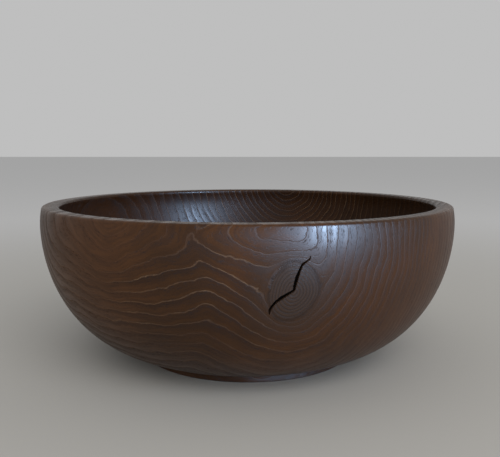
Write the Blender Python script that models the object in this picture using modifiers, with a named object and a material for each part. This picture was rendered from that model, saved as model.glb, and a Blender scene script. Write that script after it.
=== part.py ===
"""Turned wooden bowl: a round open vessel on a low foot, turned in one piece from a block of wood.

A side branch grew through the block and shows as a knot in the wall. The knot dried with a crack
across it, and the crack is filled with dark resin, a little below the surface.

Frame: metres, +Z up, origin on the table under the centre of the foot. The knot is on the -Y side.
Run it with: blender --background --python part.py
"""

import math

import bmesh
import bpy
from mathutils import Matrix, Vector

# Bowl, outside
BOWL_RADIUS = 0.150  # at the widest circle
BOWL_HEIGHT = 0.113
WIDEST_BELOW_RIM = 0.013  # the widest circle lies this far under the rim
RIM_LEAN = 0.001  # the outside leans in by this much from the widest circle to the rim
BELLY_RADIAL_POWER = 3.66  # powers of the superellipse that the belly follows
BELLY_DEPTH_POWER = 1.89

# Rim and hollow
RIM_WIDTH = 0.012  # flat top of the wall, rounded edges included
RIM_EDGE_RADIUS = 0.002
WALL_THICKNESS = 0.011  # at the widest circle
HOLLOW_RADIAL_POWER = 3.4
HOLLOW_DEPTH_POWER = 1.95
FLOOR_THICKNESS = 0.011  # wood between the hollow and the recess under the foot

# Foot: a ring that stands proud of the belly, with a shallow recess inside it
FOOT_RADIUS = 0.079
FOOT_HEIGHT = 0.005
FOOT_RING_WIDTH = 0.012
FOOT_RECESS = 0.003
FOOT_CHAMFER = 0.0008

# Knot: the stub of a side branch, an oval cone that narrows towards the heart of the tree
KNOT_TURN = math.radians(9.4)  # from the -Y direction towards +X
KNOT_BELOW_RIM = 0.0355  # its centre under the rim
KNOT_HALF_WIDTH = 0.018
KNOT_HALF_HEIGHT = 0.0215
KNOT_TAPER_LENGTH = 0.150  # from the outside of the wall to the tip of the cone
KNOT_GAP = 0.0003  # between the branch wood and the wood round it

# Crack across the knot: points along its middle, as (across, up) in shares of the knot's half width and
# half height, and its width there
CRACK_PATH = (
    (0.49, 0.77, 0.0004),
    (0.27, 0.64, 0.0009),
    (0.20, 0.50, 0.001),
    (0.12, 0.30, 0.0017),
    (0.07, 0.10, 0.0016),
    (0.05, -0.03, 0.0011),
    (-0.18, -0.15, 0.0015),
    (-0.33, -0.23, 0.0018),
    (-0.48, -0.33, 0.0012),
    (-0.59, -0.45, 0.0012),
    (-0.65, -0.67, 0.0004),
)
CRACK_FLOOR = 0.004  # sound wood left between the crack and the hollow
FILLER_SUNK = 0.0007  # the filler's face lies this far under the outside
FILLER_GAP = 0.0001
FILLER_LEAST_WIDTH = 0.0008  # the filler leaves out the ends of the crack that are narrower

# Facets
SEGMENTS = 96
BELLY_STEPS = 16
HOLLOW_STEPS = 15
EDGE_STEPS = 3
KNOT_SEGMENTS = 40

WIDEST_HEIGHT = BOWL_HEIGHT - WIDEST_BELOW_RIM
HOLLOW_FLOOR = FOOT_RECESS + FLOOR_THICKNESS
RIM_RADIUS = BOWL_RADIUS - RIM_LEAN
REACH = 2 * BOWL_RADIUS  # longer than any wall that a cutter has to pass through
MERGE = 1e-5

WOOD = (0.062, 0.036, 0.021)
KNOT_WOOD = (0.045, 0.030, 0.022)
FILLER = (0.004, 0.003, 0.003)


def material(name, colour, roughness):
    """A plain Principled finish."""
    made = bpy.data.materials.new(name)
    made.use_nodes = True
    shader = made.node_tree.nodes["Principled BSDF"]
    shader.inputs["Base Color"].default_value = (*colour, 1.0)
    shader.inputs["Roughness"].default_value = roughness
    shader.inputs["Metallic"].default_value = 0.0
    return made


def belly_depth():
    """How far the belly's curve drops from the widest circle to the axis. It meets the foot's top edge."""
    share = (FOOT_RADIUS / BOWL_RADIUS) ** BELLY_RADIAL_POWER
    return (WIDEST_HEIGHT - FOOT_HEIGHT) / (1 - share) ** (1 / BELLY_DEPTH_POWER)


def superellipse(radius, depth, radial_power, depth_power, first, last, steps):
    """(radius, height) points below the widest circle, from angle first to angle last: 0 is at the
    widest circle and pi / 2 is on the axis."""
    points = []
    for step in range(steps + 1):
        angle = first + (last - first) * step / steps
        across = radius * max(math.cos(angle), 0.0) ** (2 / radial_power)
        points.append((across, WIDEST_HEIGHT - depth * math.sin(angle) ** (2 / depth_power)))
    return points


def belly_line():
    """The outside from the widest circle down to the foot's top edge."""
    foot_angle = math.acos((FOOT_RADIUS / BOWL_RADIUS) ** (BELLY_RADIAL_POWER / 2))
    return superellipse(
        BOWL_RADIUS, belly_depth(), BELLY_RADIAL_POWER, BELLY_DEPTH_POWER, 0.0, foot_angle, BELLY_STEPS
    )


def hollow_line():
    """The inside from the widest circle down to the middle of the floor, on the axis."""
    line = superellipse(
        BOWL_RADIUS - WALL_THICKNESS,
        WIDEST_HEIGHT - HOLLOW_FLOOR,
        HOLLOW_RADIAL_POWER,
        HOLLOW_DEPTH_POWER,
        0.0,
        math.pi / 2,
        HOLLOW_STEPS,
    )
    line[-1] = (0.0, HOLLOW_FLOOR)
    return line


def rim_line():
    """The rounded flat rim, from its inner edge over the top to its outer edge."""
    points = []
    top = BOWL_HEIGHT - RIM_EDGE_RADIUS
    middles = (RIM_RADIUS - RIM_WIDTH + RIM_EDGE_RADIUS, RIM_RADIUS - RIM_EDGE_RADIUS)
    for middle, first in zip(middles, (math.pi, math.pi / 2)):
        for step in range(EDGE_STEPS + 1):
            angle = first - math.pi / 2 * step / EDGE_STEPS
            points.append(
                (middle + RIM_EDGE_RADIUS * math.cos(angle), top + RIM_EDGE_RADIUS * math.sin(angle))
            )
    return points


def foot_line():
    """The foot's side, its ring and the recess inside the ring, from the belly to the axis."""
    inner = FOOT_RADIUS - FOOT_RING_WIDTH
    return [
        (FOOT_RADIUS, FOOT_CHAMFER),
        (FOOT_RADIUS - FOOT_CHAMFER, 0.0),
        (inner, 0.0),
        (inner - FOOT_RECESS, FOOT_RECESS),
        (0.0, FOOT_RECESS),
    ]


def turned(name, outline, collection):
    """A solid of revolution from its outline, which runs over the top and down the outer side."""
    mesh = bpy.data.meshes.new(name)
    edges = [(i, i + 1) for i in range(len(outline) - 1)]
    mesh.from_pydata([(across, 0.0, height) for across, height in outline], edges, [])
    piece = bpy.data.objects.new(name, mesh)
    collection.objects.link(piece)
    screw = piece.modifiers.new("turn", "SCREW")
    screw.axis = "Z"
    screw.steps = SEGMENTS
    screw.render_steps = SEGMENTS
    screw.use_merge_vertices = True
    screw.merge_threshold = MERGE
    screw.use_smooth_shade = True
    return piece


def turned_blank(name, collection):
    """The whole bowl as it comes off the lathe."""
    outline = hollow_line()[::-1] + rim_line() + belly_line() + foot_line()
    return turned(name, outline, collection)


def inset(line, distance):
    """An outline moved inwards, at right angles to itself. It runs down an outer side."""
    points = [Vector(point) for point in line]
    moved = []
    for i, point in enumerate(points):
        along = points[min(i + 1, len(points) - 1)] - points[max(i - 1, 0)]
        outwards = Vector((-along.y, along.x)).normalized()
        moved.append(point - outwards * distance)
    return [(max(point.x, 0.0), point.y) for point in moved]


def round_core(name, line, collection):
    """A solid round core under an outline that starts at the widest circle. It is closed above the rim
    and on the axis."""
    above = BOWL_HEIGHT + REACH
    lid = [(0.0, above), (line[0][0], above)]
    return turned(name, lid + list(line) + [(0.0, line[-1][1])], collection)


def combine(piece, tool, operation):
    """A Boolean between two closed solids."""
    change = piece.modifiers.new(tool.name, "BOOLEAN")
    change.operation = operation
    change.object = tool


def knot_place():
    """The frame at the knot's middle on the outside: X across it, Y up, Z outwards along the branch."""
    outwards = Vector((math.sin(KNOT_TURN), -math.cos(KNOT_TURN), 0.0))
    across = Vector((math.cos(KNOT_TURN), math.sin(KNOT_TURN), 0.0))
    height = BOWL_HEIGHT - KNOT_BELOW_RIM
    share = ((WIDEST_HEIGHT - height) / belly_depth()) ** BELLY_DEPTH_POWER
    middle = outwards * BOWL_RADIUS * (1 - share) ** (1 / BELLY_RADIAL_POWER)
    middle.z = height
    turn = Matrix((across, Vector((0.0, 0.0, 1.0)), outwards)).transposed().to_4x4()
    return Matrix.Translation(middle) @ turn


def branch_cone(name, gap, collection):
    """The oval cone of branch wood, long enough to pass through the wall, smaller all round by the gap."""
    back, front = -3 * WALL_THICKNESS, 2 * WALL_THICKNESS
    mesh = bpy.data.meshes.new(name)
    cone = bmesh.new()
    bmesh.ops.create_cone(
        cone,
        cap_ends=True,
        segments=KNOT_SEGMENTS,
        radius1=1 + back / KNOT_TAPER_LENGTH,
        radius2=1 + front / KNOT_TAPER_LENGTH,
        depth=front - back,
    )
    bmesh.ops.translate(cone, verts=cone.verts, vec=(0.0, 0.0, (front + back) / 2))
    bmesh.ops.scale(cone, verts=cone.verts, vec=(KNOT_HALF_WIDTH - gap, KNOT_HALF_HEIGHT - gap, 1.0))
    cone.to_mesh(mesh)
    cone.free()
    piece = bpy.data.objects.new(name, mesh)
    piece.matrix_world = knot_place()
    collection.objects.link(piece)
    return piece


def crack_sides(path, gap):
    """The crack's outline on the knot's face: up one side of its middle line and back down the other."""
    middle = [Vector((across * KNOT_HALF_WIDTH, up * KNOT_HALF_HEIGHT)) for across, up, _ in path]
    left, right = [], []
    for i, (point, (_, _, width)) in enumerate(zip(middle, path)):
        along = (middle[min(i + 1, len(middle) - 1)] - middle[max(i - 1, 0)]).normalized()
        side = Vector((-along.y, along.x)) * (width / 2 - gap)
        left.append(point + side)
        right.append(point - side)
    return left + right[::-1]


def crack_prism(name, path, gap, collection):
    """The crack's outline as a closed prism that passes through the wall along the branch."""
    outline = crack_sides(path, gap)
    curve = bpy.data.curves.new(name, "CURVE")
    curve.dimensions = "2D"
    curve.fill_mode = "BOTH"
    curve.extrude = 2 * WALL_THICKNESS
    spline = curve.splines.new("POLY")
    spline.points.add(len(outline) - 1)
    for point, corner in zip(spline.points, outline):
        point.co = (corner.x, corner.y, 0.0, 1.0)
    spline.use_cyclic_u = True
    drawn = bpy.data.objects.new(name + "_outline", curve)
    collection.objects.link(drawn)
    bpy.context.view_layer.update()
    mesh = bpy.data.meshes.new_from_object(drawn.evaluated_get(bpy.context.evaluated_depsgraph_get()))
    bpy.data.objects.remove(drawn)
    prism = bmesh.new()
    prism.from_mesh(mesh)
    bmesh.ops.remove_doubles(prism, verts=prism.verts, dist=MERGE / 10)
    bmesh.ops.recalc_face_normals(prism, faces=prism.faces)
    prism.to_mesh(mesh)
    prism.free()
    piece = bpy.data.objects.new(name, mesh)
    piece.matrix_world = knot_place()
    collection.objects.link(piece)
    return piece


def hide(collection):
    """Cutters are drawn as wires and left out of a render."""
    for piece in collection.objects:
        piece.hide_render = True
        piece.display_type = "WIRE"


def finish(piece, finish_material):
    """Gives a piece its material and smooth round faces with sharp corners."""
    piece.data.materials.append(finish_material)
    piece.data.shade_smooth()
    piece.data.set_sharp_from_angle(angle=math.radians(35))


for old in list(bpy.data.objects):
    bpy.data.objects.remove(old)

bowl = bpy.data.collections.new("turned_bowl")
cutters = bpy.data.collections.new("cutters")
bpy.context.scene.collection.children.link(bowl)
bpy.context.scene.collection.children.link(cutters)

# Bowl body: the turned blank, open where the branch passes through its wall
bowl_body = turned_blank("bowl_body", bowl)
combine(bowl_body, branch_cone("knot_socket", 0.0, cutters), "DIFFERENCE")
finish(bowl_body, material("wood", WOOD, 0.42))

# Knot: the part of the same turned blank that is branch wood, with the crack let into its face
crack_cut = crack_prism("crack_cut", CRACK_PATH, 0.0, cutters)
combine(crack_cut, round_core("crack_bottom", inset(hollow_line(), -CRACK_FLOOR), cutters), "DIFFERENCE")
knot = turned_blank("knot", bowl)
combine(knot, branch_cone("knot_outline", KNOT_GAP, cutters), "INTERSECT")
combine(knot, crack_cut, "DIFFERENCE")
finish(knot, material("knot_wood", KNOT_WOOD, 0.42))

# Filler: resin in the wide part of the crack, from just above its bottom to just under the surface
filled_path = [point for point in CRACK_PATH if point[2] >= FILLER_LEAST_WIDTH]
crack_filler = crack_prism("crack_filler", filled_path, FILLER_GAP, bowl)
filler_bottom = inset(hollow_line(), -CRACK_FLOOR - FILLER_GAP)
combine(crack_filler, round_core("filler_bottom", filler_bottom, cutters), "DIFFERENCE")
combine(crack_filler, round_core("filler_face", inset(belly_line(), FILLER_SUNK), cutters), "INTERSECT")
finish(crack_filler, material("filler", FILLER, 0.3))

hide(cutters)
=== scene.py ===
import math

import bpy
import numpy as np
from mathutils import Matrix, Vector


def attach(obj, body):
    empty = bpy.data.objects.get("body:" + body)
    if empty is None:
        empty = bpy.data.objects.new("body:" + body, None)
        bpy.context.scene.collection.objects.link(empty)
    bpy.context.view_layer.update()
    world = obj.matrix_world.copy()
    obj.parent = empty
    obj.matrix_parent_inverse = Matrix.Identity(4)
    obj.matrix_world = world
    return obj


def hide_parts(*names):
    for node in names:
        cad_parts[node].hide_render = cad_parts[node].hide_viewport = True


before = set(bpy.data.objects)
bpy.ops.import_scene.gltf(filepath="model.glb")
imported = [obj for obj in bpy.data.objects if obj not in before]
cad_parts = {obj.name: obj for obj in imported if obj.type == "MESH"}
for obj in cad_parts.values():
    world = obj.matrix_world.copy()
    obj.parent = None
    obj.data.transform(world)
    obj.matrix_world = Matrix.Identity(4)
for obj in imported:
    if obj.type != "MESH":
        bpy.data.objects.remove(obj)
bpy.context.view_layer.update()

# ---------------------------------------------------------------------------------------------
# The bowl: wall, rim and foot, turned in one piece on a lathe from a block of open-grained trunk
# wood, stained dark brown and oiled to a satin finish. It stands on its foot ring.
# ---------------------------------------------------------------------------------------------

BOWL_RADIUS = 0.150
BOWL_HEIGHT = 0.113
WIDEST_HEIGHT = 0.100
RIM_LEAN = 0.001
BELLY_POWERS = (3.66, 1.89)
RIM_WIDTH = 0.012
RIM_EDGE = 0.002
HOLLOW_RADIUS = 0.139
HOLLOW_FLOOR = 0.014
HOLLOW_POWERS = (3.4, 1.95)
FOOT_RADIUS = 0.079
FOOT_HEIGHT = 0.005
FOOT_RING_WIDTH = 0.012
FOOT_RECESS = 0.003
FOOT_EDGE = 0.0008

RIM_OUTER = BOWL_RADIUS - RIM_LEAN
RIM_INNER = RIM_OUTER - RIM_WIDTH
FOOT_INNER = FOOT_RADIUS - FOOT_RING_WIDTH
FOOT_SHARE = (FOOT_RADIUS / BOWL_RADIUS) ** BELLY_POWERS[0]
BELLY_DEPTH = (WIDEST_HEIGHT - FOOT_HEIGHT) / (1 - FOOT_SHARE) ** (1 / BELLY_POWERS[1])
HOLLOW_DEPTH = WIDEST_HEIGHT - HOLLOW_FLOOR

# Points on each curve of the profile, and the mesh's columns and the distance between its rows
CURVE_POINTS = 2500
LEAN_POINTS = 60
ARC_POINTS = 40
COLUMNS = 400
ROW_STEP = 0.0020


def superellipse(radius, depth, powers, first, last):
    """Profile points at angles first to last: radius cos^(2/p), and depth sin^(2/q) under the widest
    circle. The angles crowd towards the axis, where the curve is steepest."""
    angle = last - (last - first) * np.linspace(1, 0, CURVE_POINTS) ** 2
    across = radius * np.maximum(np.cos(angle), 0) ** (2 / powers[0])
    return np.stack([across, WIDEST_HEIGHT - depth * np.sin(angle) ** (2 / powers[1])], axis=1)


def lean(radius, rim_radius, top):
    """Profile points from the widest circle up to the rim's edge. The wall moves to the rim's radius
    with the square of the height."""
    share = np.linspace(0, 1, LEAN_POINTS)
    height = WIDEST_HEIGHT + (top - WIDEST_HEIGHT) * share
    return np.stack([radius + (rim_radius - radius) * share**2, height], axis=1)


def arc(centre, radius, first, last):
    """Profile points on part of a circle, between two angles."""
    angle = np.linspace(first, last, ARC_POINTS)
    return np.stack([centre[0] + radius * np.cos(angle), centre[1] + radius * np.sin(angle)], axis=1)


def length_along(line):
    """Distance of each point from the start of its line, measured along the line."""
    return np.concatenate([[0], np.cumsum(np.hypot(*np.diff(line, axis=0).T))])


edge_height = BOWL_HEIGHT - RIM_EDGE
hollow_line = superellipse(HOLLOW_RADIUS, HOLLOW_DEPTH, HOLLOW_POWERS, 0, math.pi / 2)[::-1]
hollow_line[0, 0] = 0.0
foot_angle = math.acos(math.sqrt(FOOT_SHARE))
belly_line = superellipse(BOWL_RADIUS, BELLY_DEPTH, BELLY_POWERS, 0, foot_angle)
inner_line = np.concatenate([hollow_line, lean(HOLLOW_RADIUS, RIM_INNER, edge_height)[1:]])
outer_line = np.concatenate([lean(BOWL_RADIUS, RIM_OUTER, edge_height)[:0:-1], belly_line])
foot_line = np.array([
    (FOOT_RADIUS, FOOT_HEIGHT),
    (FOOT_RADIUS, FOOT_EDGE),
    (FOOT_RADIUS - FOOT_EDGE, 0.0),
    (FOOT_INNER, 0.0),
    (FOOT_INNER - FOOT_RECESS, FOOT_RECESS),
    (0.0, FOOT_RECESS),
])

# The whole profile, from the middle of the hollow's floor over the rim to the middle of the foot, as
# lines with the distance between the rows on each
stretches = [
    (inner_line, ROW_STEP),
    (arc((RIM_INNER + RIM_EDGE, edge_height), RIM_EDGE, math.pi, math.pi / 2), RIM_EDGE / 4),
    (np.array([(RIM_INNER + RIM_EDGE, BOWL_HEIGHT), (RIM_OUTER - RIM_EDGE, BOWL_HEIGHT)]), ROW_STEP / 2),
    (arc((RIM_OUTER - RIM_EDGE, edge_height), RIM_EDGE, math.pi / 2, 0), RIM_EDGE / 4),
    (outer_line, ROW_STEP),
]
stretches += [(foot_line[k : k + 2], 2 * ROW_STEP) for k in range(len(foot_line) - 1)]
profile = np.concatenate([inner_line[:1]] + [line[1:] for line, _ in stretches])
profile_length = length_along(profile)
row_places, start = [np.zeros(1)], 0.0
for line, step in stretches:
    reach = length_along(line)[-1]
    row_places.append(start + np.linspace(0, reach, max(1, round(reach / step)) + 1)[1:])
    start += reach
row_places = np.concatenate(row_places)[1:-1]


def profile_at(place):
    """(radius, height) of the profile at distances along it from the middle of the hollow's floor."""
    return np.interp(place, profile_length, profile[:, 0]), np.interp(place, profile_length, profile[:, 1])


def spun(turn, place):
    """A point of the profile turned round the axis: turn is measured from -Y towards +X."""
    radius, height = profile_at(place)
    return np.stack([radius * np.sin(turn), -radius * np.cos(turn), height + 0 * turn], axis=-1)


# The socket that the branch wood fills: an oval cone through the wall. A window of the wall's grid is
# left open round it on both faces, and closed up to the oval by rings of points.
KNOT_TURN = math.radians(9.4)
KNOT_HEIGHT = 0.0775
KNOT_HALF = np.array([0.018, 0.0215])
KNOT_TAPER_LENGTH = 0.150
WINDOW_TOP = 0.106
WINDOW_BOTTOM = 0.048
WINDOW_COLUMNS = 14
SOCKET_STEPS = 12
SOCKET_CROWDING = 0.9
TUNNEL_STEPS = 6
HALVINGS = 30


def turned(points, turn):
    """(side, out) of points: how far they are to the right, and how far outwards, for someone who faces
    the bowl at a turn from -Y towards +X."""
    x, y = points[..., 0], points[..., 1]
    return x * math.cos(turn) + y * math.sin(turn), x * math.sin(turn) - y * math.cos(turn)


def read_off(value, first, second):
    """What the second list holds where the first reaches a value, on straight lines between their points.
    The points may come in any order."""
    order = np.argsort(first)
    return np.interp(value, first[order], second[order])


def belly_radius(height):
    """Radius of the wall's outer face at a height. Above the widest circle it stays at the widest."""
    return read_off(height, belly_line[:, 1], belly_line[:, 0])


knot_face_radius = belly_radius(KNOT_HEIGHT)


def oval_share(points):
    """How far points are from the branch's axis, as a share of the socket's oval at their depth. The
    oval grows in step with the distance outwards from the wall's face."""
    side, out = turned(points, KNOT_TURN)
    grown = 1 + (out - knot_face_radius) / KNOT_TAPER_LENGTH
    return np.hypot(side / KNOT_HALF[0], (points[..., 2] - KNOT_HEIGHT) / KNOT_HALF[1]) / grown


def border(rows, columns):
    """Indices of a grid's border, clockwise from its first row and column."""
    down, right = np.arange(rows), np.arange(columns)
    row = np.concatenate([0 * right[:-1], down[:-1], 0 * right[:0:-1] + rows - 1, down[:0:-1]])
    column = np.concatenate([right[:-1], 0 * down[:-1] + columns - 1, right[:0:-1], 0 * down[:0:-1]])
    return row, column


def between(first, last, share):
    """The point that is a share of the way from the first to the last."""
    return first + (last - first) * share


def hole_edge(turn, place, centre_place):
    """Where a straight line on the wall, from the branch's axis to a point of the window's border, leaves
    the oval. It is found by halving the line again and again."""
    low, high = np.zeros_like(turn), np.ones_like(turn)
    for _ in range(HALVINGS):
        middle = (low + high) / 2
        points = spun(between(KNOT_TURN, turn, middle), between(centre_place, place, middle))
        inside = oval_share(points) < 1
        low, high = np.where(inside, middle, low), np.where(inside, high, middle)
    return between(KNOT_TURN, turn, low), between(centre_place, place, low)


turns = KNOT_TURN + (np.arange(COLUMNS) - COLUMNS // 2) * 2 * math.pi / COLUMNS
grid_points = spun(turns[None, :], row_places[:, None])
grid = np.arange(grid_points.size // 3).reshape(grid_points.shape[:2])
row_heights = profile_at(row_places)[1]
rim_row = int(np.argmax(row_heights))
in_window = (row_heights < WINDOW_TOP) & (row_heights > WINDOW_BOTTOM)
outer_rows = rim_row + np.flatnonzero(in_window[rim_row:])
inner_rows = np.flatnonzero(in_window[:rim_row])[::-1]
window_rows = min(len(outer_rows), len(inner_rows))
outer_rows, inner_rows = outer_rows[:window_rows], inner_rows[:window_rows]
window_columns = np.arange(COLUMNS // 2 - WINDOW_COLUMNS, COLUMNS // 2 + WINDOW_COLUMNS + 1)


def socket_rings(rows):
    """Rings of points from a window's border in the grid to the edge of the oval hole. Each point of the
    border moves straight to the edge, in steps that crowd a little towards it."""
    row, column = border(window_rows, len(window_columns))
    turn, place = turns[window_columns[column]], row_places[rows[row]]
    centre_place = read_off(KNOT_HEIGHT, row_heights[rows], row_places[rows])
    edge_turn, edge_place = hole_edge(turn, place, centre_place)
    share = (np.linspace(0, 1, SOCKET_STEPS + 1) ** SOCKET_CROWDING)[:, None]
    return spun(between(turn, edge_turn, share), between(place, edge_place, share))


outer_rings = socket_rings(outer_rows)
inner_rings = socket_rings(inner_rows)[::-1]
tunnel_share = np.linspace(0, 1, TUNNEL_STEPS + 1)[1:-1, None, None]
tunnel = between(outer_rings[-1], inner_rings[0], tunnel_share)
passage = np.concatenate([outer_rings[1:], tunnel, inner_rings[:-1]])
passage_index = grid.size + np.arange(passage.size // 3).reshape(passage.shape[:2])
row, column = border(window_rows, len(window_columns))
outer_border = grid[outer_rows[row], window_columns[column]]
inner_border = grid[inner_rows[row], window_columns[column]]
passage_index = np.concatenate([outer_border[None], passage_index, inner_border[None]])


def quads(index, closed):
    """Faces of a grid of vertex numbers, wound so that they face outwards when rows run down and
    columns run to the right."""
    right = np.roll(index, -1, axis=1) if closed else index[:, 1:]
    left = index if closed else index[:, :-1]
    faces = np.stack([left[:-1], left[1:], right[1:], right[:-1]], axis=-1)
    return faces.reshape(-1, 4)


def fan(pole, ring):
    """Three-cornered faces from a pole to each pair of neighbours on a closed ring."""
    return np.stack([0 * ring + pole, ring, np.roll(ring, -1)], axis=-1)


cell_rows = np.arange(len(row_places) - 1)[:, None]
cell_columns = np.arange(COLUMNS)[None, :]
in_columns = (cell_columns >= window_columns[0]) & (cell_columns < window_columns[-1])
open_cells = in_columns & (
    ((cell_rows >= outer_rows.min()) & (cell_rows < outer_rows.max()))
    | ((cell_rows >= inner_rows.min()) & (cell_rows < inner_rows.max()))
)
wall_faces = quads(grid, closed=True)[~open_cells.ravel()]
bowl_faces = np.concatenate([wall_faces, quads(passage_index, closed=True)])
poles = np.array([(0, 0, HOLLOW_FLOOR), (0, 0, FOOT_RECESS)])
bowl_points = np.concatenate([grid_points.reshape(-1, 3), passage.reshape(-1, 3), poles])
top_pole, low_pole = len(bowl_points) - 2, len(bowl_points) - 1
bowl_fans = np.concatenate([fan(top_pole, grid[0]), fan(low_pole, grid[-1])[:, ::-1]])

# The tree, in millimetres and in the bowl's own frame. The trunk's heart is a level line above the
# bowl's mouth, and the rings round it flatten towards the end of the block that the branch grew from.
TRUNK_TURN = math.radians(-24.0)
TRUNK_SIDE = 19.7
TRUNK_HEIGHT = 117.0
BRANCH_END = (20.0, 90.0)
END_AGE_LOSS = 0.15
SIDE_LOSS = 0.58
SIDE_KEPT = 9.0
SIDE_KEPT_WITHIN = 12.0
SIDE_LOSS_FADES = (55.0, 115.0)

# The branch's heart runs level and outwards, and its bark is an oval with waves (count, shift, reach).
# Wood of the trunk's side closed round it in a collar.
PITH_TURN = math.radians(9.8)
PITH_HEIGHT = 76.0
BRANCH_HALF = (13.5, 17.5)
BARK_WAVES = ((2, 0.6, 0.05), (3, 2.0, 0.035))
OUTSIDE_BRANCH = 9.0
PUSHED_HALF = (15.0, 18.0)
COLLAR_TOP = 106.0
COLLAR_TOP_ROUND = 5.0
COLLAR_DROP = 0.9
COLLAR_FOOT = 70.0
COLLAR_FOOT_LOSS = 0.12
COLLAR_FIRST = 10.9
LEFT_GROWTH = 0.44
LEFT_ROUND = 12.0
RIGHT_GROWTH = 1.25
COLLAR_GROWTH = 0.85
COLLAR_DEPTH = 70.0
COLLAR_DEPTH_GROWTH = 0.8

# How softly trunk and collar meet, the waves that all rings follow (radians per millimetre, shift and
# reach), and how wide the rings are
MEETING_BLEND = 1.5
RING_WAVES = (
    ((0.11, 0.05, 0.16), 0.0, 0.5),
    ((-0.07, 0.13, 0.09), 1.0, 0.5),
    ((0.25, -0.16, 0.21), 2.0, 0.35),
)
RING_WIDTH = 4.7
RING_WIDTH_LOSS = 0.16
FIRST_YEAR = 0.1
BRANCH_RINGS = 8
BRANCH_FIRST_YEAR = 100
# Depths inwards from the outer face where the painted shade of the hollow begins and becomes full
HOLLOW_SHADE_STARTS = (0.004, 0.009)


def smooth(value, low, high):
    """Rises from 0 to 1 between two limits, with level ends."""
    share = np.clip((value - low) / (high - low), 0, 1)
    return share * share * (3 - 2 * share)


def soft_least(first, second, blend):
    """The lesser of two fields, rounded where they are within the blend of each other."""
    near = np.maximum(blend - np.abs(first - second), 0) / blend
    return np.minimum(first, second) - near**2 * blend / 4


def branch_end(mm):
    """Rises from 0 in the middle of the block to 1 at the end that the branch grew from."""
    return smooth(turned(mm, TRUNK_TURN)[1], *BRANCH_END)


def trunk_age(mm):
    """Distance from the trunk's heart. Towards the branch's end a fixed share of the distance to the side
    is lost, apart from a little that is kept near the heart, and less is lost at the block's sides. The
    whole age is a little less there too."""
    side = np.abs(turned(mm, TRUNK_TURN)[0] + TRUNK_SIDE)
    kept = SIDE_KEPT * (1 - np.exp(-side / SIDE_KEPT_WITHIN))
    lost = (SIDE_LOSS * side - kept) * (1 - smooth(side, *SIDE_LOSS_FADES)) * branch_end(mm)
    return np.hypot(side - lost, mm[..., 2] - TRUNK_HEIGHT) * (1 - END_AGE_LOSS * branch_end(mm))


def collar_age(mm):
    """Growth of the wood round the branch, from the distance below the collar's top and to either side.
    Its rings hang down in wide loops, rise slowly to the left of the branch and steeply to the right,
    and are pushed apart by the branch as water is by a post. Deeper in the block they are older."""
    side, out = turned(mm, PITH_TURN)
    share = np.hypot(side / PUSHED_HALF[0], (mm[..., 2] - PITH_HEIGHT) / PUSHED_HALF[1])
    push = np.sqrt(1 - 1 / np.maximum(share, 1) ** 2)
    side = side * push
    height = PITH_HEIGHT + (mm[..., 2] - PITH_HEIGHT) * push
    drop = COLLAR_DROP * np.hypot(COLLAR_TOP - height, COLLAR_TOP_ROUND)
    drop -= COLLAR_FOOT_LOSS * np.maximum(COLLAR_FOOT - height, 0)
    left = drop + LEFT_GROWTH * (np.hypot(side, LEFT_ROUND) - LEFT_ROUND)
    right = np.hypot(RIGHT_GROWTH * side, drop)
    growth = COLLAR_GROWTH * (COLLAR_FIRST + np.where(side < 0, left, right))
    return growth + COLLAR_DEPTH_GROWTH * np.maximum(COLLAR_DEPTH - out, 0)


def ring_age(points):
    """Millimetres of growth before the wood at a point was laid down: whichever of the trunk and the
    collar got there first, with slow waves added. The crest left of the knot is where they meet."""
    mm = points * 1000
    age = soft_least(trunk_age(mm), collar_age(mm), MEETING_BLEND)
    for steps, shift, reach in RING_WAVES:
        age = age + reach * np.sin(mm @ steps + shift)
    return age


def branch_share(points):
    """Distance from the branch's own heart, as a share of the way to its bark: an oval with two slow
    waves round it. Behind the bowl's axis there is no branch."""
    mm = points * 1000
    side, out = turned(mm, PITH_TURN)
    height = mm[..., 2] - PITH_HEIGHT
    angle = np.arctan2(height, side)
    bark = 1 + sum(reach * np.sin(count * angle + shift) for count, shift, reach in BARK_WAVES)
    share = np.hypot(side / BRANCH_HALF[0], height / BRANCH_HALF[1]) / bark
    return np.where(out > 0, share, OUTSIDE_BRANCH)


def ring_year(points):
    """The year a point's wood was laid down: its age divided by the width of a ring, which is nearly a
    fifth more towards the branch's end. The branch has its own years, from its heart out to its bark."""
    width = RING_WIDTH / (1 - RING_WIDTH_LOSS * branch_end(points * 1000))
    share = branch_share(points)
    trunk_year = FIRST_YEAR + ring_age(points) / width
    return np.where(share < 1, BRANCH_FIRST_YEAR + BRANCH_RINGS * share, trunk_year)


def line_clarity(points):
    """How clearly the yearly lines show: most where the wall cuts squarely across the trunk, least along
    its sides. At the branch's end they are faint near both hearts, under the branch and to the right of
    it, in the oldest rings and at the far left, and the faintest of these holds."""
    mm = points * 1000
    along, side = turned(mm, TRUNK_TURN)[1], turned(mm, PITH_TURN)[0]
    near_hearts = 1 - np.minimum(smooth(trunk_age(mm), 24, 33), smooth(collar_age(mm), 18, 25))
    under_branch = 0.75 * smooth(side, -24, 0)
    oldest_rings = 0.6 * smooth(ring_age(points), 44, 64)
    far_left = 0.8 * smooth(-side, 84, 112)
    faint = 0.9 * np.maximum.reduce([near_hearts, under_branch, oldest_rings, far_left])
    squarely = smooth(np.abs(along), 20, 125) * smooth(branch_share(points), 1.0, 1.5)
    return squarely * (1 - faint * branch_end(mm))


def painted_hollow_shade(points):
    """Where shade is painted in the hollow: 0 on the wall's outer face and 1 on its inner face, from the
    distance inwards from the outer face.
    """
    radius, height = np.hypot(points[..., 0], points[..., 1]), points[..., 2]
    return smooth(belly_radius(height) - radius, *HOLLOW_SHADE_STARTS)


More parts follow.
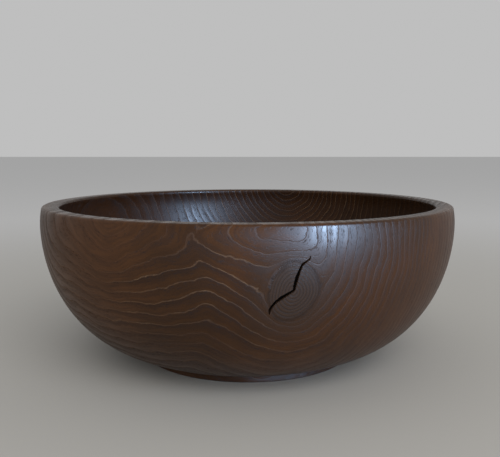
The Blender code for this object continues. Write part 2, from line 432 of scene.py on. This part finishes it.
class Shader:
    """A new material's nodes. Each method adds one node or a few, and gives back the last one's output."""

    def __init__(self, name):
        self.material = bpy.data.materials.new(name)
        self.material.use_nodes = True
        self.tree = self.material.node_tree
        self.surface = self.tree.nodes["Principled BSDF"]

    def put(self, socket, value):
        """Links a value to a socket, or sets it when it is a constant."""
        if isinstance(value, bpy.types.NodeSocket):
            self.tree.links.new(value, socket)
        elif value is not None:
            socket.default_value = value

    def add(self, kind, values, output=0, **settings):
        """Any node, with its inputs by name or number."""
        node = self.tree.nodes.new(kind)
        for key, setting in settings.items():
            setattr(node, key, setting)
        for key, value in values.items():
            self.put(node.inputs[key], value)
        return node.outputs[output]

    def place(self):
        """Where on the piece a point is, in metres."""
        return self.add("ShaderNodeTexCoord", {}, output=3)

    def field(self, name):
        """One of the numbers that build keeps at each point of a piece."""
        return self.add("ShaderNodeAttribute", {}, output=2, attribute_name=name)

    def maths(self, operation, first, second=None, third=None):
        """One sum on up to three values."""
        return self.add("ShaderNodeMath", {0: first, 1: second, 2: third}, operation=operation)

    def range(self, value, low, high, new_low=0.0, new_high=1.0):
        """Moves smoothly between two new limits as a value passes from low to high."""
        values = {"Value": value, 1: low, 2: high, 3: new_low, 4: new_high}
        return self.add("ShaderNodeMapRange", values, interpolation_type="SMOOTHSTEP")

    def noise(self, vector, scale, detail):
        """Cloudy noise from 0 to 1."""
        return self.add("ShaderNodeTexNoise", {"Vector": vector, "Scale": scale, "Detail": detail})

    def stray(self, vector, scale, detail, reach):
        """Noise centred on 0: noise times the reach, less half the reach."""
        return self.maths("MULTIPLY_ADD", self.noise(vector, scale, detail), reach, -reach / 2)

    def along_rings(self, vector, scale, year, layers):
        """Noise drawn out along the rings: it changes with the place, and faster with the year."""
        depth = self.maths("MULTIPLY", year, layers / scale)
        values = {"Vector": vector, "W": depth, "Scale": scale, "Detail": 1.0}
        return self.add("ShaderNodeTexNoise", values, noise_dimensions="4D")

    def mix(self, share, first, second):
        """Goes from the first colour to the second as the share goes from 0 to 1."""
        values = {0: share, 6: first, 7: second}
        return self.add("ShaderNodeMix", values, output=2, data_type="RGBA")

    def stain_and_shade(self, colour, share, strength, stain_and_shade):
        """A colour with another mixed in, by a share times a strength."""
        return self.mix(self.maths("MULTIPLY", share, strength), colour, stain_and_shade)


# The stained wood's two tones, the dark of its bands and pores that also paints shade in the hollow, its
# yearly lines, and the branch's wood and rings
TONES = {
    "tone": (0.050, 0.0212, 0.0072, 1),
    "red": (0.080, 0.0322, 0.0108, 1),
    "dark": (0.012, 0.0048, 0.0018, 1),
    "line_colour": (0.150, 0.090, 0.047, 1),
    "branch_tone": (0.036, 0.0202, 0.0124, 1),
    "branch_line": (0.053, 0.0305, 0.0198, 1),
}
SATIN_ROUGHNESS = 0.34
RIM_POLISH = -0.08
OIL_SHEEN = 0.2
PORE_DEPTH = 0.0002
PORE_STRENGTH = 0.3


def wood(name, tone, red, dark, line_colour, branch_tone, branch_line):
    """Oiled open-grained wood. Each year starts with a line of wide pores, then a dark band, and goes on as
    denser wood. Lines are crisp where the surface cuts across the trunk and soft where it runs along it.
    Shade is painted on the hollow's inner face, which is darker than the outer face."""
    shade = Shader(name)
    place = shade.place()
    height = shade.add("ShaderNodeSeparateXYZ", {0: place}, output=2)
    clarity = shade.field("clarity")

    # The year, with small wanders that are calmer inside the branch, and how far through it the wood is
    branch = shade.maths("ADD", shade.field("branch"), shade.stray(place, 120.0, 3.0, 0.5))
    inside = shade.range(branch, 0.75, 1.15, 1.0, 0.0)
    calm = shade.maths("MULTIPLY_ADD", inside, -0.4, 1.0)
    wander = shade.maths("ADD", shade.stray(place, 42.0, 3.0, 0.44), shade.stray(place, 200.0, 2.0, 0.30))
    year = shade.maths("ADD", shade.field("year"), shade.maths("MULTIPLY", wander, calm))
    part = shade.maths("FRACT", year)
    chance = shade.add("ShaderNodeTexWhiteNoise", {"W": shade.maths("FLOOR", year)}, noise_dimensions="1D")

    # Each year's line and band, and how strongly its line shows: by year, in patches and in dashes
    line = shade.maths("MULTIPLY", shade.range(part, 0.0, 0.05), shade.range(part, 0.05, 0.13, 1.0, 0.0))
    band = shade.maths("MULTIPLY", shade.range(part, 0.06, 0.14), shade.range(part, 0.2, 0.8, 1.0, 0.0))
    patches = shade.range(shade.noise(place, 22.0, 2.0), 0.38, 0.6, 0.4, 1.0)
    dashes = shade.range(shade.along_rings(place, 300.0, year, 9.0), 0.3, 0.55, 0.45, 1.0)
    strength = shade.maths("MULTIPLY", shade.range(chance, 0, 1, 0.4, 1.0), patches)
    strength = shade.maths("MULTIPLY", strength, shade.range(clarity, 0.0, 1.0, 0.06, 1.0))
    strength = shade.maths("MULTIPLY", strength, dashes)
    shadow = shade.maths("MULTIPLY", band, shade.range(clarity, 0.0, 1.0, 0.25, 0.85))

    # Pores, which are strongest early in the year, and streaks and clouds of the stain
    pores = shade.range(shade.along_rings(place, 420.0, year, 16.0), 0.57, 0.68)
    pores = shade.maths("MULTIPLY", pores, shade.range(part, 0.1, 0.9, 1.0, 0.4))
    streaks = shade.range(shade.along_rings(place, 55.0, year, 5.0), 0.35, 0.65)
    clouds = shade.range(shade.noise(place, 13.0, 3.0), 0.35, 0.65)

    # The trunk's wood with painted shade inside the hollow, a halo of the branch's colour round it, then
    # its rings, its bark and all pores
    colour = shade.mix(clouds, tone, red)
    colour = shade.stain_and_shade(colour, streaks, 0.3, dark)
    colour = shade.stain_and_shade(colour, shadow, shade.range(chance, 0, 1, 0.25, 0.55), dark)
    # Painted shade: the hollow's inner face is darkened halfway towards the dark tone
    colour = shade.stain_and_shade(colour, shade.field("hollow"), 0.5, dark)
    colour = shade.stain_and_shade(colour, line, strength, line_colour)
    colour = shade.mix(shade.range(branch, 0.9, 2.3, 0.6, 0.0), colour, branch_line)
    swell = shade.range(shade.maths("PINGPONG", year, 0.5), 0.05, 0.45)
    colour = shade.mix(inside, colour, shade.mix(swell, branch_tone, branch_line))
    bark_ends = shade.range(branch, 0.99, 1.12, 1.0, 0.0)
    bark = shade.maths("MULTIPLY", shade.range(branch, 0.86, 0.97), bark_ends)
    colour = shade.stain_and_shade(colour, bark, 0.4, dark)
    colour = shade.stain_and_shade(colour, pores, 0.5, dark)

    # The oil's satin is duller in lines, bands, pores and streaks, and glossier where hands rub the rim
    rough = shade.maths("ADD", shade.range(height, 0.107, 0.1125, 0.0, RIM_POLISH), SATIN_ROUGHNESS)
    for feature, duller in ((line, 0.26), (band, 0.1), (pores, 0.25), (streaks, 0.06)):
        rough = shade.maths("MULTIPLY_ADD", feature, duller, rough)
    pits = shade.maths("MULTIPLY_ADD", pores, 0.6, line)
    relief = {"Height": pits, "Strength": PORE_STRENGTH, "Distance": PORE_DEPTH}
    shade.put(shade.surface.inputs["Base Color"], colour)
    shade.put(shade.surface.inputs["Roughness"], rough)
    shade.put(shade.surface.inputs["Normal"], shade.add("ShaderNodeBump", relief, invert=True))
    shade.put(shade.surface.inputs["Specular IOR Level"], OIL_SHEEN)
    return shade.material


SHARP_ANGLE = math.radians(38)


def build(name, points, quad_faces, fans, material):
    """A smooth mesh object from arrays of points, four-cornered faces and three-cornered faces. Points
    that no face uses are left out, and the others keep the numbers that the wood's look follows."""
    used = np.zeros(len(points), bool)
    used[quad_faces] = True
    used[fans] = True
    number = np.cumsum(used) - 1
    mesh = bpy.data.meshes.new(name)
    mesh.from_pydata(points[used], [], number[quad_faces].tolist() + number[fans].tolist())
    mesh.materials.append(material)
    mesh.shade_smooth()
    mesh.set_sharp_from_angle(angle=SHARP_ANGLE)
    fields = {"year": ring_year, "branch": branch_share, "clarity": line_clarity, "hollow": painted_hollow_shade}
    for field, formula in fields.items():
        mesh.attributes.new(field, "FLOAT", "POINT").data.foreach_set("value", formula(points[used]))
    piece = bpy.data.objects.new(name, mesh)
    bpy.context.scene.collection.objects.link(piece)
    return piece


bowl = build("bowl", bowl_points, bowl_faces, bowl_fans, wood("bowl_wood", **TONES))
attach(bowl, "root")
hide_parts("bowl_body")

# ---------------------------------------------------------------------------------------------
# The knot: the stub of a side branch that grew through the block, so it passes right through the wall.
# Its wood is darker and denser. It cracked as it dried, from its middle to its edge on two sides.
# ---------------------------------------------------------------------------------------------

KNOT_CELLS = 150
KNOT_FIT = 0.998
BAND_STEPS = 8
SETTLING_ROUNDS = 6
CRACK_DEPTH = 0.0026
CRACK_SIDE = 0.00025
# Points along the crack: across and up in shares of the knot's half sizes, and the crack's width
CRACK_PATH = np.array([
    (0.52, 0.84, 0.00015),
    (0.49, 0.77, 0.0004),
    (0.27, 0.64, 0.0009),
    (0.20, 0.50, 0.0011),
    (0.12, 0.30, 0.0016),
    (0.07, 0.10, 0.0015),
    (0.05, -0.03, 0.0010),
    (-0.18, -0.15, 0.0014),
    (-0.33, -0.23, 0.0018),
    (-0.48, -0.33, 0.0012),
    (-0.59, -0.45, 0.0012),
    (-0.65, -0.55, 0.0011),
    (-0.65, -0.67, 0.0003),
])


def wall_point(across, up, line):
    """(side, height, out) of a point of the wall's face from its shares of the oval. The oval's growth
    depends on the point's own depth, so it is worked out again a few times until it settles."""
    grown = np.ones_like(across)
    for _ in range(SETTLING_ROUNDS):
        side, height = across * KNOT_HALF[0] * grown, KNOT_HEIGHT + up * KNOT_HALF[1] * grown
        out = np.sqrt(read_off(height, line[:, 1], line[:, 0]) ** 2 - side**2)
        grown = 1 + (out - knot_face_radius) / KNOT_TAPER_LENGTH
    return side, height, out


def unturned(side, height, out):
    """From distances to the right, up and outwards at the knot back to the bowl's own frame."""
    sine, cosine = math.sin(KNOT_TURN), math.cos(KNOT_TURN)
    return np.stack([side * cosine + out * sine, side * sine - out * cosine, height], axis=-1)


def crack_depth(side, height):
    """Depth of the crack at points of the face: full where a point is nearer to the crack's middle line
    than half its width there, with sides that drop smoothly."""
    path = CRACK_PATH[:, :2] * KNOT_HALF
    point = np.stack([side, height - KNOT_HEIGHT], axis=-1)
    inside = np.full(side.shape, -1.0)
    for first, last, wide, wide_next in zip(path[:-1], path[1:], CRACK_PATH[:-1, 2], CRACK_PATH[1:, 2]):
        along = last - first
        share = np.clip((point - first) @ along / (along @ along), 0, 1)
        away = np.linalg.norm(point - first - share[..., None] * along, axis=-1)
        inside = np.maximum(inside, between(wide, wide_next, share) / 2 - away)
    return CRACK_DEPTH * smooth(inside, -CRACK_SIDE / 2, CRACK_SIDE / 2)


# A square grid drawn out to a disc makes the front and the back, and a band joins their edges
share = np.linspace(-1, 1, KNOT_CELLS + 1)
square_up, square_across = np.meshgrid(-share, share, indexing="ij")
disc_across = KNOT_FIT * square_across * np.sqrt(1 - square_up**2 / 2)
disc_up = KNOT_FIT * square_up * np.sqrt(1 - square_across**2 / 2)
side, height, out = wall_point(disc_across, disc_up, outer_line)
face = unturned(side, height, out - crack_depth(side, height))
back = unturned(*wall_point(disc_across, disc_up, hollow_line))
row, column = border(*face.shape[:2])
band_share = np.linspace(0, 1, BAND_STEPS + 1)[1:-1, None, None]
band = between(face[row, column], back[row, column], band_share)
face_index = np.arange(face.size // 3).reshape(face.shape[:2])
back_index = face_index + face_index.size
band_index = 2 * face_index.size + np.arange(band.size // 3).reshape(band.shape[:2])
band_index = np.concatenate([face_index[row, column][None], band_index, back_index[row, column][None]])
knot_faces = np.concatenate([
    quads(face_index, closed=False),
    quads(back_index, closed=False)[:, ::-1],
    quads(band_index, closed=True)[:, ::-1],
])
knot_points = np.concatenate([face.reshape(-1, 3), back.reshape(-1, 3), band.reshape(-1, 3)])
no_fans = np.zeros((0, 3), int)
knot = build("knot_stub", knot_points, knot_faces, no_fans, wood("knot_wood", **TONES))
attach(knot, "root")
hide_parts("knot")

# ---------------------------------------------------------------------------------------------
# The filler: black resin run into the knot's crack and left a little below its face. It holds by
# its grip on the crack's sides, and ends just short of the crack's two tips.
# ---------------------------------------------------------------------------------------------

FILLER_TOP = 0.0007
FILLER_BOTTOM = 0.0023
FILLER_STATIONS = 90
FILLER_ROUND = 12
RESIN_BLACK = (0.0012, 0.0010, 0.0009, 1)
RESIN_GREY = (0.004, 0.0032, 0.0027, 1)

path = CRACK_PATH[1:-1]
path_length = length_along(path[:, :2] * KNOT_HALF)
even = np.linspace(0, path_length[-1], FILLER_STATIONS)
station = np.stack([np.interp(even, path_length, path[:, k]) for k in range(3)], axis=1)
middle = station[:, :2] * KNOT_HALF
heading = np.gradient(middle, axis=0)
heading /= np.linalg.norm(heading, axis=1)[:, None]
normal = np.stack([-heading[:, 1], heading[:, 0]], axis=1)
# Round the crack's middle line from its right side, and under it first, so that faces point outwards
around = np.linspace(0, 2 * math.pi, FILLER_ROUND, endpoint=False)[None, :]
sideways = np.cos(around) * (station[:, 2:] / 2)
spot = middle[:, None, :] + normal[:, None, :] * sideways[..., None]
deep = (FILLER_TOP + FILLER_BOTTOM) / 2 + (FILLER_BOTTOM - FILLER_TOP) / 2 * np.sin(around)
side, height, out = wall_point(spot[..., 0] / KNOT_HALF[0], spot[..., 1] / KNOT_HALF[1], outer_line)
tube = unturned(side, height, out - deep)
tube_index = np.arange(tube.size // 3).reshape(tube.shape[:2])
ends = np.stack([tube[0].mean(axis=0), tube[-1].mean(axis=0)])
first_end, last_end = tube_index.size, tube_index.size + 1
filler_points = np.concatenate([tube.reshape(-1, 3), ends])
filler_fans = np.concatenate([fan(first_end, tube_index[0]), fan(last_end, tube_index[-1])[:, ::-1]])
resin = Shader("black_resin")
grit = resin.noise(resin.place(), 900.0, 3.0)
resin.put(resin.surface.inputs["Base Color"], resin.mix(grit, RESIN_BLACK, RESIN_GREY))
resin.put(resin.surface.inputs["Roughness"], resin.range(grit, 0.3, 0.7, 0.55, 0.8))
resin.put(resin.surface.inputs["Specular IOR Level"], 0.0)
filler = build("crack_resin", filler_points, quads(tube_index, closed=True), filler_fans, resin.material)
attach(filler, "root")
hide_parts("crack_filler")

# ---------------------------------------------------------------------------------------------
# The setting: a plain pale floor in a pale room. Cool light from a window on the right makes the
# gloss, and wide daylight from the same side lights the wood.
# ---------------------------------------------------------------------------------------------

FLOOR_REACH = 12.0
FLOOR_NEAR = (0.50, 0.49, 0.465, 1)
FLOOR_FAR = (0.70, 0.70, 0.70, 1)
FLOOR_TURNS_PALER = (0.2, 1.1)
FLOOR_ROUGHNESS = 0.9
ROOM_LIGHT = 0.52
LENS = 45.72
SENSOR_WIDTH = 36.0
CAMERA_BACK = 0.480
CAMERA_HEIGHT = 0.15243
CAMERA_DOWN = math.radians(7.138)
CAMERA_TURN = math.radians(-0.219)

floor_paint = Shader("floor_paint")
distance = floor_paint.add("ShaderNodeVectorMath", {0: floor_paint.place()}, output=1, operation="LENGTH")
floor_colour = floor_paint.mix(floor_paint.range(distance, *FLOOR_TURNS_PALER), FLOOR_NEAR, FLOOR_FAR)
floor_paint.put(floor_paint.surface.inputs["Base Color"], floor_colour)
floor_paint.put(floor_paint.surface.inputs["Roughness"], FLOOR_ROUGHNESS)
floor_paint.put(floor_paint.surface.inputs["Specular IOR Level"], 0.0)
floor_mesh = bpy.data.meshes.new("floor")
floor_corners = FLOOR_REACH * np.array([(-1, -1, 0), (1, -1, 0), (1, 1, 0), (-1, 1, 0)])
floor_mesh.from_pydata(floor_corners, [], [(0, 1, 2, 3)])
floor_mesh.materials.append(floor_paint.material)
floor = bpy.data.objects.new("floor", floor_mesh)
bpy.context.scene.collection.objects.link(floor)


def soft_light(name, place, aim, size, power, colour):
    """A rectangular light that faces a point."""
    light = bpy.data.lights.new(name, "AREA")
    light.shape = "RECTANGLE"
    light.size, light.size_y = size
    light.energy = power
    light.color = colour
    lamp = bpy.data.objects.new(name, light)
    lamp.location = place
    lamp.rotation_euler = (Vector(aim) - Vector(place)).to_track_quat("-Z", "Y").to_euler()
    bpy.context.scene.collection.objects.link(lamp)
    return lamp


window = soft_light(
    "window",
    place=(1.10, -1.40, 0.36),
    aim=(0, 0, 0.09),
    size=(0.28, 0.76),
    power=140,
    colour=(0.46, 0.68, 1.0),
)
window.visible_diffuse = False
daylight = soft_light(
    "daylight",
    place=(0.5, -1.5, 0.9),
    aim=(0, 0, 0.03),
    size=(1.6, 1.4),
    power=19,
    colour=(1.0, 0.98, 0.95),
)
daylight.visible_glossy = False
room = bpy.data.worlds.new("room")
room.use_nodes = True
room.node_tree.nodes["Background"].inputs["Color"].default_value = (1.0, 1.0, 1.0, 1)
room.node_tree.nodes["Background"].inputs["Strength"].default_value = ROOM_LIGHT
bpy.context.scene.world = room
bpy.context.scene.view_settings.view_transform = "Standard"

camera = bpy.data.cameras.new("camera")
camera.lens = LENS
camera.sensor_width = SENSOR_WIDTH
camera_object = bpy.data.objects.new("camera", camera)
camera_object.location = (0, -CAMERA_BACK, CAMERA_HEIGHT)
camera_object.rotation_euler = (math.pi / 2 - CAMERA_DOWN, 0, CAMERA_TURN)
bpy.context.scene.collection.objects.link(camera_object)
bpy.context.scene.camera = camera_object
